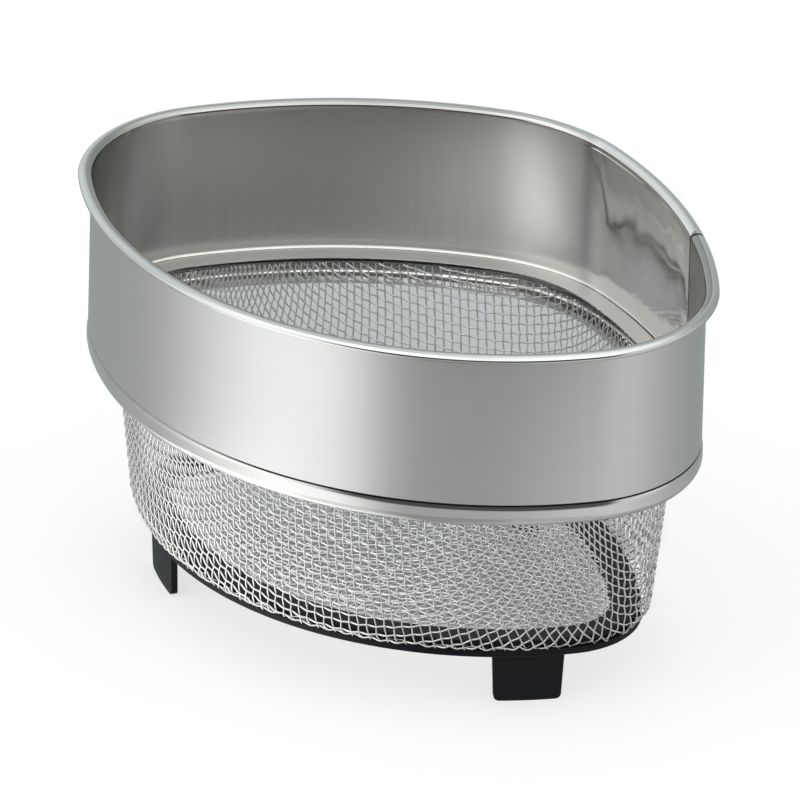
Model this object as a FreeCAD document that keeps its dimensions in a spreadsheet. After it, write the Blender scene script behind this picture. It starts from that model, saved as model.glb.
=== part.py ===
import FreeCAD, Part
import math
import os

import Sketcher

# Free-standing corner strainer for a sink: a stainless band with a rolled rim, a roll-formed ring
# under it, a drawn wire basket held in that ring, and two moulded rings that pinch the basket's
# floor, the lower one with legs. The plan is a rounded triangle with a bowed front.
# Frame: X along the front from tip to tip, front towards -Y, Z up from the soles of the legs.

SIZES = {
    # Whole object, over the rolled rim
    "overall_width": 242.0,
    "overall_depth": 186.0,
    "overall_height": 143.5,
    # Plan, at the rim's outer edge: how far the tips lie forward of the middle, and the arcs
    "tips_forward": 8.0,
    "tip_radius": 53.0,
    "side_radius": 190.0,
    "back_radius": 70.0,
    # Band: one strip of sheet, its top flared and rolled outward, its two ends meeting at a seam
    "sheet_thickness": 0.5,
    "rim_diameter": 3.5,
    "rim_flare": 1.35,
    "flare_radius": 6.0,
    "band_height": 57.6,
    "seam_gap": 0.6,
    "seam_mark_depth": 0.2,
    "seam_overrun": 1.0,
    # Basket ring: a ledge inside the band, a bead outside below it and a lip turned in
    "band_clearance": 0.1,
    "groove_gap": 0.15,
    "ledge_rise": 2.0,
    "ledge_width": 7.2,
    "ledge_bend_radius": 1.0,
    "step_bend_radius": 0.25,
    "shoulder_width": 0.45,
    "shoulder_radius": 0.4,
    "bead_slope": 1.8,
    "bead_slope_radius": 3.5,
    "bead_proud": 0.4,
    "bead_height": 8.7,
    "bead_radius": 3.8,
    "lip_radius": 2.0,
    "lip_height": 3.6,
    # Wire basket: woven of wire, so its sheet is two wires thick, with a flange under the ledge
    "wire_diameter": 0.5,
    "flange_clearance": 0.9,
    "basket_gap": 1.0,
    "basket_taper": 7.0,
    "basket_neck_radius": 1.5,
    "basket_corner_radius": 4.0,
    # Openings of the basket: a plain grid, coarser than the weave, with bars left between them
    "opening_bar": 4.0,
    "opening_margin": 3.0,
    "opening_overrun": 3.0,
    "floor_opening_pitch": 20.0,
    # Base: moulded ring with three plate legs, set back from its edge
    "leg_height": 18.3,
    "leg_thickness": 2.2,
    "leg_width": 24.6,
    "leg_foot_width": 22.9,
    "leg_setback": 2.8,
    "leg_lean": 0.8,
    "leg_corner_radius": 2.0,
    "base_thickness": 2.6,
    "base_step": 2.65,
    "base_edge_radius": 0.6,
    # Clamp ring inside the basket, and the pins that join it to the base through the mesh
    "clamp_thickness": 2.0,
    "clamp_width": 9.0,
    "clamp_clearance": 0.3,
    "clamp_edge_radius": 0.6,
    "pin_diameter": 2.2,
    "pin_clearance": 0.05,
    "pin_base_depth": 1.5,
    "pin_clamp_depth": 1.2,
}

# Places round the plan, as shares of an arc: on the front and the back from the middle to an end,
# on a tip from its front end to its back end, and on the right side from the tip to the back
RIGHT_LEG_SHARE = 0.847
LEFT_LEG_SHARE = -0.755
BACK_LEG_SHARE = 0.0
FRONT_PIN_SHARES = (-0.89, -0.32, 0.32, 0.89)
BACK_PIN_SHARES = (-0.95, 0.95)
TIP_PIN_SHARE = 0.78
SEAM_SHARE = 0.36

# Openings round the basket's wall, and rows of them one above another
WALL_OPENINGS = 24
WALL_ROWS = 3

# The sketcher's numbers for its origin, and for an edge's own points
ORIGIN = (-1, 1)
START, END, CENTRE = range(1, 4)


class Size:
    """A length: its value, and the formula that ties it to the cells of the sheet."""

    def __init__(self, value, formula):
        self.value = value
        self.formula = formula

    def combine(self, other, sign, value):
        return Size(value, f"({self.formula} {sign} {getattr(other, 'formula', other)})")

    def __add__(self, other):
        return self.combine(other, "+", self.value + getattr(other, "value", other))

    def __sub__(self, other):
        return self.combine(other, "-", self.value - getattr(other, "value", other))

    def __mul__(self, other):
        return self.combine(other, "*", self.value * getattr(other, "value", other))

    def __truediv__(self, other):
        return self.combine(other, "/", self.value / getattr(other, "value", other))


class Sizes:
    """The sheet's cells by name."""

    def __init__(self, document, table):
        sheet = document.addObject("Spreadsheet::Sheet", "sizes")
        for row, (name, value) in enumerate(table.items(), start=1):
            sheet.set(f"A{row}", name)
            sheet.set(f"B{row}", str(value))
            sheet.setAlias(f"B{row}", name)
            setattr(self, name, Size(value, f"sizes.{name}"))
        document.recompute()


doc = FreeCAD.newDocument("corner_strainer")
dim = Sizes(doc, SIZES)

# Insets from the rim's outer edge, and heights above the soles, that several pieces share
half_width = dim.overall_width / 2
half_depth = dim.overall_depth / 2
band_inner_inset = dim.rim_diameter + dim.rim_flare
band_outer_inset = band_inner_inset - dim.sheet_thickness
band_bottom = dim.overall_height - dim.band_height
ledge_top = band_bottom + dim.ledge_rise
ring_inset = band_inner_inset + dim.band_clearance
ledge_inset = ring_inset + dim.ledge_width
mesh_thickness = dim.wire_diameter * 2
flange_bottom = ledge_top - dim.sheet_thickness - mesh_thickness
basket_top_inset = ledge_inset + dim.basket_gap
basket_bottom_inset = basket_top_inset + dim.basket_taper
base_top = dim.leg_height + dim.base_thickness
floor_top = base_top + mesh_thickness
clamp_outer_inset = basket_bottom_inset + dim.basket_corner_radius + dim.clamp_clearance
clamp_inner_inset = clamp_outer_inset + dim.clamp_width
base_inset = basket_bottom_inset + dim.base_step
pin_inset = (clamp_outer_inset + clamp_inner_inset) / 2


# Plan: centres of the arcs, the same for every inset
tip_x = half_width - dim.tip_radius
tip_y = dim.tips_forward * -1
back_y = half_depth - dim.back_radius
front_to_tips = half_depth - dim.tips_forward


def front_radius(inset):
    """Radius of the front arc that passes the front edge and runs smoothly into both tips."""
    reach = front_to_tips - inset
    tip = dim.tip_radius - inset
    return (tip_x * tip_x + reach * reach - tip * tip) / ((reach - tip) * 2)


zero = Size(0, "0")
front_y = front_radius(zero) - half_depth


def hold(sketch, kind, places, length):
    """Add a sized constraint to a sketch and tie it to the sheet."""
    index = sketch.addConstraint(Sketcher.Constraint(kind, *places, length.value))
    sketch.setExpression(f"Constraints[{index}]", length.formula)


def hold_point(sketch, point, x, y):
    """Fix a point of a sketch at x, y from its origin, whichever side that lies on."""
    for kind, length in (("DistanceX", x), ("DistanceY", y)):
        if length.value >= 0:
            hold(sketch, kind, (*ORIGIN, *point), length)
        else:
            hold(sketch, kind, (*point, *ORIGIN), length * -1)


def side_centre():
    """Centre of the right side's arc, tangent to the tip's and the back corner's."""
    to_tip = dim.side_radius.value - dim.tip_radius.value
    to_back = dim.side_radius.value - dim.back_radius.value
    run_x = -tip_x.value
    run_y = back_y.value - tip_y.value
    span = math.hypot(run_x, run_y)
    along = (span ** 2 + to_tip ** 2 - to_back ** 2) / (2 * span)
    across = math.sqrt(to_tip ** 2 - along ** 2)
    x = tip_x.value + (along * run_x - across * run_y) / span
    y = tip_y.value + (along * run_y + across * run_x) / span
    return x, y


# Angles from the X direction at which the right half's arcs meet, and half the front and back arcs
half_circle = math.pi
side_x, side_y = side_centre()
tip_start = math.atan2(tip_y.value - front_y.value, tip_x.value)
tip_end = math.atan2(tip_y.value - side_y, tip_x.value - side_x)
side_end = math.atan2(back_y.value - side_y, -side_x)
front_half = half_circle / 2 + tip_start
back_half = half_circle / 2 - side_end


def add_plan(sketch, inset):
    """Add one closed plan outline to a sketch: seven arcs, each tangent to the next."""
    tip = dim.tip_radius - inset
    side = dim.side_radius - inset
    back = dim.back_radius - inset
    front = front_radius(inset)
    arcs = (
        (0, front_y.value, front, -half_circle / 2, tip_start),
        (tip_x.value, tip_y.value, tip, tip_start, tip_end),
        (side_x, side_y, side, tip_end, side_end),
        (0, back_y.value, back, side_end, half_circle - side_end),
        (-side_x, side_y, side, half_circle - side_end, half_circle - tip_end),
        (-tip_x.value, tip_y.value, tip, half_circle - tip_end, half_circle - tip_start),
        (0, front_y.value, front, half_circle - tip_start, half_circle * 1.5),
    )
    first = sketch.GeometryCount
    for x, y, radius, start, end in arcs:
        circle = Part.Circle(FreeCAD.Vector(x, y, 0), FreeCAD.Vector(0, 0, 1), radius.value)
        sketch.addGeometry(Part.ArcOfCircle(circle, start, end))
    ids = range(first, first + len(arcs))
    front_right, right_tip, right_side, back_corner, left_side, left_tip, front_left = ids
    for arc in ids:
        following = first + (arc - first + 1) % len(arcs)
        sketch.addConstraint(Sketcher.Constraint("Tangent", arc, END, following, START))
    for arc, radius in ((right_tip, tip), (left_tip, tip), (right_side, side), (left_side, side),
                        (back_corner, back)):
        hold(sketch, "Radius", (arc,), radius)
    for arc in (front_right, back_corner):
        sketch.addConstraint(Sketcher.Constraint("Vertical", arc, CENTRE, *ORIGIN))
    sketch.addConstraint(Sketcher.Constraint("Vertical", front_right, START, *ORIGIN))
    hold(sketch, "DistanceY", (front_right, START, *ORIGIN), half_depth - inset)
    hold(sketch, "DistanceX", (*ORIGIN, right_tip, CENTRE), tip_x)
    hold(sketch, "DistanceX", (left_tip, CENTRE, *ORIGIN), tip_x)
    for arc in (right_tip, left_tip):
        hold(sketch, "DistanceY", (front_right, START, arc, CENTRE), front_to_tips - inset)
    hold(sketch, "DistanceY", (front_right, START, back_corner, CENTRE),
         dim.overall_depth - dim.back_radius - inset)


def section_sketch(name):
    """A sketch that stands on the centre line of the front: inset along it, height up it."""
    sketch = doc.addObject("Sketcher::SketchObject", name)
    upright = FreeCAD.Rotation(FreeCAD.Vector(1, 1, 1), 120)
    sketch.Placement = FreeCAD.Placement(FreeCAD.Vector(0, 0, 0), upright)
    return sketch


def add_path(sketch, corners):
    """Add a path of straight runs to a section, each inner corner rounded by its radius."""
    points = [FreeCAD.Vector(inset.value - half_depth.value, height.value, 0)
              for inset, height, radius in corners]
    ends = [[point, point] for point in points]
    for index in range(1, len(points) - 1):
        before = (points[index - 1] - points[index]).normalize()
        after = (points[index + 1] - points[index]).normalize()
        half_turn = before.getAngle(after) / 2
        back_off = corners[index][2].value / math.tan(half_turn)
        ends[index] = [points[index] + before * back_off, points[index] + after * back_off]
    marks = []
    for (inset, height, radius), point in zip(corners, points):
        mark = sketch.addGeometry(Part.Point(point), True)
        hold_point(sketch, (mark, START), inset - half_depth, height)
        marks.append(mark)
    runs = []
    for (near_mark, near), (far_mark, far) in zip(zip(marks, ends), zip(marks[1:], ends[1:])):
        run = sketch.addGeometry(Part.LineSegment(near[1], far[0]))
        runs.append(run)
        for mark, where in ((near_mark, START), (far_mark, END)):
            if mark in (marks[0], marks[-1]):
                link = Sketcher.Constraint("Coincident", run, where, mark, START)
            else:
                link = Sketcher.Constraint("PointOnObject", mark, START, run)
            sketch.addConstraint(link)
    for index in range(1, len(points) - 1):
        radius = corners[index][2]
        enter, leave = ends[index]
        inward = ((enter + leave) / 2 - points[index]).normalize()
        half_turn = (enter - points[index]).getAngle(inward)
        centre = points[index] + inward * (radius.value / math.sin(half_turn))
        leftward = (enter - centre).cross(leave - centre).z > 0
        first, last = (enter, leave) if leftward else (leave, enter)
        start, end = (math.atan2(point.y - centre.y, point.x - centre.x) for point in (first, last))
        circle = Part.Circle(centre, FreeCAD.Vector(0, 0, 1), radius.value)
        arc = sketch.addGeometry(Part.ArcOfCircle(circle, start, end))
        joins = (START, END) if leftward else (END, START)
        sketch.addConstraint(Sketcher.Constraint("Tangent", runs[index - 1], END, arc, joins[0]))
        sketch.addConstraint(Sketcher.Constraint("Tangent", runs[index], START, arc, joins[1]))
        hold(sketch, "Radius", (arc,), radius)


def sweep_sheet(name, path, thickness):
    """Thicken a section's path on its right-hand side to a sheet and sweep it round the plan."""
    sheet = doc.addObject("Part::Offset2D", f"{name}_sheet")
    sheet.Source = path
    sheet.Mode = "Skin"
    sheet.Fill = True
    sheet.setExpression("Value", (thickness * -1).formula)
    swept = doc.addObject("Part::Sweep", name)
    swept.Sections = [sheet]
    swept.Spine = (plan, [f"Edge{edge + 1}" for edge in range(len(plan.Shape.Edges))])
    swept.Solid = True
    doc.recompute()
    return swept


def origin_plane(body, role):
    """One of a body's own origin planes."""
    return next(plane for plane in body.Origin.OriginFeatures if plane.Role == role)


def level_sketch(body, name, height):
    """A sketch of a body that lies level at a height."""
    sketch = body.newObject("Sketcher::SketchObject", name)
    sketch.AttachmentSupport = [(origin_plane(body, "XY_Plane"), "")]
    sketch.MapMode = "FlatFace"
    sketch.setExpression("AttachmentOffset.Base.z", height.formula)
    return sketch


def pad(body, name, sketch, length):
    """Raise a sketch into a solid."""
    feature = body.newObject("PartDesign::Pad", name)
    feature.Profile = sketch
    feature.setExpression("Length", length.formula)
    doc.recompute()
    return feature


def round_edges(body, name, base, edges, radius):
    """Round the chosen edges of a body's last feature."""
    feature = body.newObject("PartDesign::Fillet", name)
    feature.Base = (base, edges)
    feature.setExpression("Radius", radius.formula)
    doc.recompute()
    return feature


def edges_of(feature, wanted):
    """Names of a feature's edges that pass a test."""
    return [f"Edge{number}" for number, edge in enumerate(feature.Shape.Edges, start=1)
            if wanted(edge)]


def lies_level(edge, height):
    """Whether an edge lies at one height."""
    box = edge.BoundBox
    return abs(box.ZMin - height) < EDGE_TOLERANCE and abs(box.ZMax - height) < EDGE_TOLERANCE


EDGE_TOLERANCE = dim.sheet_thickness.value / 1000

# Plan outline at the band's outer face, which every sheet piece is swept along
plan = doc.addObject("Sketcher::SketchObject", "plan")
add_plan(plan, band_outer_inset)
doc.recompute()

# Band: a straight wall whose top flares outward, then is rolled over and down
rim_radius = dim.rim_diameter / 2
rim_height = dim.overall_height - rim_radius
band_path = section_sketch("band_path")
wall_y = band_inner_inset.value - half_depth.value
rim_centre = FreeCAD.Vector(rim_radius.value - half_depth.value, rim_height.value, 0)
flare_excess = dim.flare_radius.value - rim_radius.value
flare_turn = math.acos(1 - dim.rim_flare.value / flare_excess)
flare_centre = rim_centre - FreeCAD.Vector(math.cos(flare_turn), math.sin(flare_turn), 0) * flare_excess
wall = band_path.addGeometry(Part.LineSegment(
    FreeCAD.Vector(wall_y, band_bottom.value, 0), FreeCAD.Vector(wall_y, flare_centre.y, 0)))
flare_circle = Part.Circle(flare_centre, FreeCAD.Vector(0, 0, 1), dim.flare_radius.value)
flare = band_path.addGeometry(Part.ArcOfCircle(flare_circle, 0, flare_turn))
roll_circle = Part.Circle(rim_centre, FreeCAD.Vector(0, 0, 1), rim_radius.value)
roll = band_path.addGeometry(Part.ArcOfCircle(roll_circle, flare_turn, half_circle * 1.5))
hold_point(band_path, (wall, START), band_inner_inset - half_depth, band_bottom)
band_path.addConstraint(Sketcher.Constraint("Vertical", wall))
band_path.addConstraint(Sketcher.Constraint("Tangent", wall, END, flare, START))
band_path.addConstraint(Sketcher.Constraint("Tangent", flare, END, roll, START))
band_path.addConstraint(Sketcher.Constraint("Vertical", roll, CENTRE, roll, END))
hold(band_path, "Radius", (flare,), dim.flare_radius)
hold(band_path, "Radius", (roll,), rim_radius)
hold_point(band_path, (roll, CENTRE), rim_radius - half_depth, rim_height)
rolled_band = sweep_sheet("rolled_band", band_path, dim.sheet_thickness)

# Seam where the strip's ends meet: open across the rolled rim, a shallow line down the wall inside
seam_cuts = []
seam_angle = tip_end + (side_end - tip_end) * SEAM_SHARE
seam_turn = FreeCAD.Rotation(FreeCAD.Vector(0, 0, 1), math.degrees(seam_angle))
for name, start, length, bottom, height in (
        ("seam_rim", band_outer_inset, dim.rim_diameter + dim.seam_overrun,
         rim_height - dim.rim_diameter, dim.rim_diameter * 2),
        ("seam_wall", band_inner_inset + dim.seam_overrun, dim.seam_overrun + dim.seam_mark_depth,
         band_bottom - dim.seam_overrun, dim.band_height - dim.rim_diameter)):
    cut = doc.addObject("Part::Box", name)
    cut.setExpression("Length", length.formula)
    cut.setExpression("Width", dim.seam_gap.formula)
    cut.setExpression("Height", height.formula)
    reach = seam_turn.multVec(FreeCAD.Vector(dim.side_radius.value - start.value,
                                             -dim.seam_gap.value / 2, 0))
    place = FreeCAD.Vector(side_x, side_y, bottom.value) + reach
    cut.Placement = FreeCAD.Placement(place, seam_turn)
    seam_cuts.append(cut)
seam = doc.addObject("Part::MultiFuse", "seam")
seam.Shapes = seam_cuts
side_band = doc.addObject("Part::Cut", "side_band")
side_band.Base = rolled_band
side_band.Tool = seam

# Basket ring: from the ledge's inner edge out to the band, down inside it, out under its lower edge
# and round the bead to the lip
groove_height = band_bottom - dim.groove_gap
bead_inset = band_outer_inset - dim.bead_proud
bead_bottom = groove_height - dim.bead_height
ring_path = section_sketch("ring_path")
add_path(ring_path, (
    (ledge_inset, ledge_top, None),
    (ring_inset, ledge_top, dim.ledge_bend_radius),
    (ring_inset, groove_height, dim.step_bend_radius),
    (ring_inset - dim.shoulder_width, groove_height, dim.shoulder_radius),
    (bead_inset, groove_height - dim.bead_slope, dim.bead_slope_radius),
    (bead_inset, bead_bottom, dim.bead_radius),
    (ledge_inset, bead_bottom, dim.lip_radius),
    (ledge_inset, bead_bottom + dim.lip_height, None),
))
basket_rim = sweep_sheet("basket_rim", ring_path, dim.sheet_thickness)

# Wire basket: flange under the ledge, tapered wall, rounded corner and flat floor
basket_path = section_sketch("basket_path")
floor_lap_inset = basket_bottom_inset + dim.basket_corner_radius * 2
add_path(basket_path, (
    (ring_inset + dim.sheet_thickness + dim.flange_clearance, flange_bottom, None),
    (basket_top_inset, flange_bottom, dim.basket_neck_radius),
    (basket_bottom_inset, base_top, dim.basket_corner_radius),
    (floor_lap_inset, base_top, None),
))
basket_wall = sweep_sheet("basket_wall", basket_path, mesh_thickness)
floor_plan = doc.addObject("Sketcher::SketchObject", "floor_plan")
add_plan(floor_plan, floor_lap_inset)
basket_floor = doc.addObject("Part::Extrusion", "basket_floor")
basket_floor.Base = floor_plan
basket_floor.DirMode = "Normal"
basket_floor.Solid = True
basket_floor.setExpression("LengthFwd", mesh_thickness.formula)
basket_floor.setExpression("Placement.Base.z", base_top.formula)
whole_basket = doc.addObject("Part::MultiFuse", "whole_basket")
whole_basket.Shapes = [basket_wall, basket_floor]
whole_basket.Refine = True
doc.recompute()


def place_round(edges, run):
    """The point at a run along joined edges, and the direction of the edge there."""
    for edge in edges:
        if run <= edge.Length:
            at = edge.getParameterByLength(run)
            return edge.valueAt(at), edge.tangentAt(at)
        run -= edge.Length


# Openings of the wall: evenly round it, in rows, each square to the wall where it stands
wall_low = base_top + dim.basket_corner_radius + dim.opening_margin
wall_high = flange_bottom - dim.basket_neck_radius - dim.opening_margin
row_pitch = (wall_high - wall_low + dim.opening_bar) / WALL_ROWS
opening_height = row_pitch - dim.opening_bar
opening_depth = dim.basket_taper + mesh_thickness + dim.opening_overrun * 2
opening_plan = doc.addObject("Sketcher::SketchObject", "opening_plan")
add_plan(opening_plan, basket_bottom_inset + mesh_thickness)
doc.recompute()
wall_pitch = opening_plan.Shape.Length / WALL_OPENINGS
opening_width = wall_pitch - dim.opening_bar.value
basket_openings = []
for number in range(WALL_OPENINGS):
    point, ahead = place_round(opening_plan.Shape.Wires[0].OrderedEdges, (number + 1 / 2) * wall_pitch)
    outward = FreeCAD.Rotation(FreeCAD.Vector(0, 0, 1), math.degrees(math.atan2(-ahead.x, ahead.y)))
    corner = point - outward.multVec(FreeCAD.Vector(dim.opening_overrun.value, opening_width / 2, 0))
    for row in range(WALL_ROWS):
        opening = doc.addObject("Part::Box", "wall_opening")
        opening.setExpression("Length", opening_depth.formula)
        opening.Width = opening_width
        opening.setExpression("Height", opening_height.formula)
        level = FreeCAD.Vector(0, 0, (wall_low + row_pitch * row).value)
        opening.Placement = FreeCAD.Placement(corner + level, outward)
        basket_openings.append(opening)

# Openings of the floor: a square grid inside the clamp ring, cut off at the ring's edge
field_plan = doc.addObject("Sketcher::SketchObject", "field_plan")
add_plan(field_plan, clamp_inner_inset + dim.opening_margin)
doc.recompute()
field_face = Part.Face(field_plan.Shape.Wires[0])
field_bottom = base_top - dim.opening_overrun
field_height = mesh_thickness + dim.opening_overrun * 2
floor_opening = dim.floor_opening_pitch - dim.opening_bar
columns = math.ceil(half_width.value / dim.floor_opening_pitch.value)
rows = math.ceil(half_depth.value / dim.floor_opening_pitch.value)
grid_boxes = []
for column in range(-columns, columns):
    for row in range(-rows, rows):
        middle_x = dim.floor_opening_pitch * (column + 1 / 2)
        middle_y = dim.floor_opening_pitch * (row + 1 / 2)
        if not field_face.isInside(FreeCAD.Vector(middle_x.value, middle_y.value, 0), EDGE_TOLERANCE, True):
            continue
        box = doc.addObject("Part::Box", "floor_opening")
        for side in ("Length", "Width"):
            box.setExpression(side, floor_opening.formula)
        box.setExpression("Height", field_height.formula)
        for axis, length in (("x", middle_x - floor_opening / 2), ("y", middle_y - floor_opening / 2),
                             ("z", field_bottom)):
            box.setExpression(f"Placement.Base.{axis}", length.formula)
        grid_boxes.append(box)
floor_grid = doc.addObject("Part::Compound", "floor_grid")
floor_grid.Links = grid_boxes
floor_field = doc.addObject("Part::Extrusion", "floor_field")
floor_field.Base = field_plan
floor_field.DirMode = "Normal"
floor_field.Solid = True
floor_field.setExpression("LengthFwd", field_height.formula)
floor_field.setExpression("Placement.Base.z", field_bottom.formula)
floor_openings = doc.addObject("Part::Common", "floor_openings")
floor_openings.Base = floor_grid
floor_openings.Tool = floor_field
basket_openings.append(floor_openings)


def arc_place(centre_x, centre_y, radius, angle):
    """A place on an arc of the plan, at an angle from the X direction."""
    return centre_x + radius * math.cos(angle), centre_y + radius * math.sin(angle)


# Pins: upright, in the middle of the clamp ring's width
pin_places = [arc_place(zero, front_y, front_radius(pin_inset), front_half * share - half_circle / 2)
              for share in FRONT_PIN_SHARES]
pin_places += [arc_place(zero, back_y, dim.back_radius - pin_inset, half_circle / 2 - back_half * share)
               for share in BACK_PIN_SHARES]
tip_pin_angle = tip_start + (tip_end - tip_start) * TIP_PIN_SHARE
pin_places += [arc_place(tip_x * side, tip_y, dim.tip_radius - pin_inset, angle)
               for side, angle in ((-1, half_circle - tip_pin_angle), (1, tip_pin_angle))]
pin_bottom = base_top - dim.pin_base_depth
pin_length = dim.pin_base_depth + mesh_thickness + dim.pin_clamp_depth


def stand_pins(name, radius):
    """Upright cylinders at all the pins' places, as one group."""
    cylinders = []
    for x, y in pin_places:
        cylinder = doc.addObject("Part::Cylinder", f"{name}_pin")
        cylinder.setExpression("Radius", radius.formula)
        cylinder.setExpression("Height", pin_length.formula)
        for axis, length in (("x", x), ("y", y), ("z", pin_bottom)):
            cylinder.setExpression(f"Placement.Base.{axis}", length.formula)
        cylinders.append(cylinder)
    group = doc.addObject("Part::Compound", name)
    group.Links = cylinders
    return group


def add_pin_bores(body, name, height, depth, upward):
    """Blind bores for the pins, from a level face of a body."""
    sketch = level_sketch(body, f"{name}_plan", height)
    for x, y in pin_places:
        circle = Part.Circle(FreeCAD.Vector(x.value, y.value, 0), FreeCAD.Vector(0, 0, 1),
                             pin_hole_radius.value)
        bore = sketch.addGeometry(circle)
        hold_point(sketch, (bore, CENTRE), x, y)
        hold(sketch, "Radius", (bore,), pin_hole_radius)
    pocket = body.newObject("PartDesign::Pocket", name)
    pocket.Profile = sketch
    pocket.Reversed = upward
    pocket.setExpression("Length", depth.formula)
    doc.recompute()
    return pocket


pin_radius = dim.pin_diameter / 2
pin_hole_radius = pin_radius + dim.pin_clearance
clamp_pins = stand_pins("clamp_pins", pin_radius)
mesh_holes = doc.addObject("Part::Compound", "mesh_holes")
mesh_holes.Links = [stand_pins("pin_holes", pin_hole_radius), *basket_openings]
mesh_basket = doc.addObject("Part::Cut", "mesh_basket")
mesh_basket.Base = whole_basket
mesh_basket.Tool = mesh_holes

# Clamp ring: flat, inside the basket on its floor
clamp_ring = doc.addObject("PartDesign::Body", "clamp_ring")
clamp_plan = level_sketch(clamp_ring, "clamp_plan", floor_top)
add_plan(clamp_plan, clamp_outer_inset)
add_plan(clamp_plan, clamp_inner_inset)
clamp_pad = pad(clamp_ring, "clamp_pad", clamp_plan, dim.clamp_thickness)
clamp_top = floor_top + dim.clamp_thickness
top_edges = edges_of(clamp_pad, lambda edge: lies_level(edge, clamp_top.value))
round_edges(clamp_ring, "clamp_round", clamp_pad, top_edges, dim.clamp_edge_radius)
add_pin_bores(clamp_ring, "clamp_bores", floor_top, dim.pin_clamp_depth, True)

# Base: ring under the basket's floor, with its legs
base_ring = doc.addObject("PartDesign::Body", "base_ring")
base_plan = level_sketch(base_ring, "base_plan", dim.leg_height)
add_plan(base_plan, base_inset)
add_plan(base_plan, clamp_inner_inset)
base_pad = pad(base_ring, "base_pad", base_plan, dim.base_thickness)
bottom_edges = edges_of(base_pad, lambda edge: lies_level(edge, dim.leg_height.value))
round_edges(base_ring, "base_round", base_pad, bottom_edges, dim.base_edge_radius)


def leg_section(name, height, centre_y, angle, outer_radius, width):
    """Level section of a leg: a curved plate across the direction that the leg faces."""
    sketch = level_sketch(base_ring, name, height)
    sketch.setExpression("AttachmentOffset.Base.y", centre_y.formula)
    sketch.setExpression("AttachmentOffset.Rotation.Angle", f"{angle} deg")
    inner_radius = outer_radius - dim.leg_thickness
    half = width / 2
    corners = []
    for radius in (outer_radius, inner_radius):
        drop = -math.sqrt(radius.value ** 2 - half.value ** 2)
        corners.append([FreeCAD.Vector(side * half.value, drop, 0) for side in (-1, 1)])
    (outer_left, outer_right), (inner_left, inner_right) = corners
    outer = sketch.addGeometry(Part.Arc(outer_left, FreeCAD.Vector(0, -outer_radius.value, 0), outer_right))
    right = sketch.addGeometry(Part.LineSegment(outer_right, inner_right))
    inner = sketch.addGeometry(Part.Arc(inner_left, FreeCAD.Vector(0, -inner_radius.value, 0), inner_right))
    left = sketch.addGeometry(Part.LineSegment(inner_left, outer_left))
    for first, second in (((outer, END), (right, START)), ((right, END), (inner, END)),
                          ((inner, START), (left, START)), ((left, END), (outer, START))):
        sketch.addConstraint(Sketcher.Constraint("Coincident", *first, *second))
    for arc, radius in ((outer, outer_radius), (inner, inner_radius)):
        sketch.addConstraint(Sketcher.Constraint("Coincident", arc, CENTRE, *ORIGIN))
        hold(sketch, "Radius", (arc,), radius)
    for line in (left, right):
        sketch.addConstraint(Sketcher.Constraint("Vertical", line))
    hold(sketch, "DistanceX", (*ORIGIN, right, START), half)
    hold(sketch, "DistanceX", (left, START, *ORIGIN), half)
    return sketch


leg_inset = base_inset + dim.leg_setback
for name, centre_y, turn, radius in (
        ("right_leg", front_y, front_half * RIGHT_LEG_SHARE, front_radius(leg_inset)),
        ("left_leg", front_y, front_half * LEFT_LEG_SHARE, front_radius(leg_inset)),
        ("back_leg", back_y, half_circle - back_half * BACK_LEG_SHARE, dim.back_radius - leg_inset)):
    angle = math.degrees(turn)
    foot = leg_section(f"{name}_foot", zero, centre_y, angle, radius - dim.leg_lean, dim.leg_foot_width)
    top = leg_section(f"{name}_top", dim.leg_height, centre_y, angle, radius, dim.leg_width)
    leg = base_ring.newObject("PartDesign::AdditiveLoft", name)
    leg.Profile = foot
    leg.Sections = [top]
    leg.Ruled = True
    doc.recompute()
foot_corners = edges_of(leg, lambda edge: lies_level(edge, 0) and isinstance(edge.Curve, Part.Line))
round_edges(base_ring, "leg_round", leg, foot_corners, dim.leg_corner_radius)
add_pin_bores(base_ring, "base_bores", base_top, dim.pin_base_depth, False)
doc.recompute()

# Check every object, then write one file for each piece
for item in doc.Objects:
    if "Invalid" in item.State or "Error" in item.State:
        raise RuntimeError(f"{item.Name} is not built: {item.State}")
os.makedirs("parts", exist_ok=True)
for piece in (side_band, basket_rim, mesh_basket, clamp_ring, base_ring, clamp_pins):
    shape = piece.Shape
    if shape.isNull() or not shape.isValid():
        raise RuntimeError(f"{piece.Label} has no valid shape")
    shape.exportStep(f"parts/{piece.Label}.step")
    box = shape.BoundBox
    print(piece.Label, len(shape.Solids), "solids", round(shape.Volume, 1), "mm3",
          [round(side, 2) for side in (box.XMin, box.XMax, box.YMin, box.YMax, box.ZMin, box.ZMax)])
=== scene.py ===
import math

import bpy
import numpy as np
from mathutils import Matrix, Vector


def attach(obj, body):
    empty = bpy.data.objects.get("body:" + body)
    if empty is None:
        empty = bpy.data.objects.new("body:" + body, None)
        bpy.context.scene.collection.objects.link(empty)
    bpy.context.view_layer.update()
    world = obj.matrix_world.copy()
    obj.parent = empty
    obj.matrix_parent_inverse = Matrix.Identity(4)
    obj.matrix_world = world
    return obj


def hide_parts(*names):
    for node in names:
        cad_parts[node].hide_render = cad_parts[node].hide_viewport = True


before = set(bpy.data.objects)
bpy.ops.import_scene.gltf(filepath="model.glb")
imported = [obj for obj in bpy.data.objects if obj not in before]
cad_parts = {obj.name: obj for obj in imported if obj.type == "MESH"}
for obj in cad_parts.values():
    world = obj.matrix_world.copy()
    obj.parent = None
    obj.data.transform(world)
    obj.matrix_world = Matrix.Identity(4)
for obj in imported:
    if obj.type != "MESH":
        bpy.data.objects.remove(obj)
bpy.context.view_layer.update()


# Base ring with its three legs
# One moulding in black plastic: a flat ring under the floor of the basket and three plate legs.
# It keeps its CAD shape and takes a satin, finely grained finish.

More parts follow.
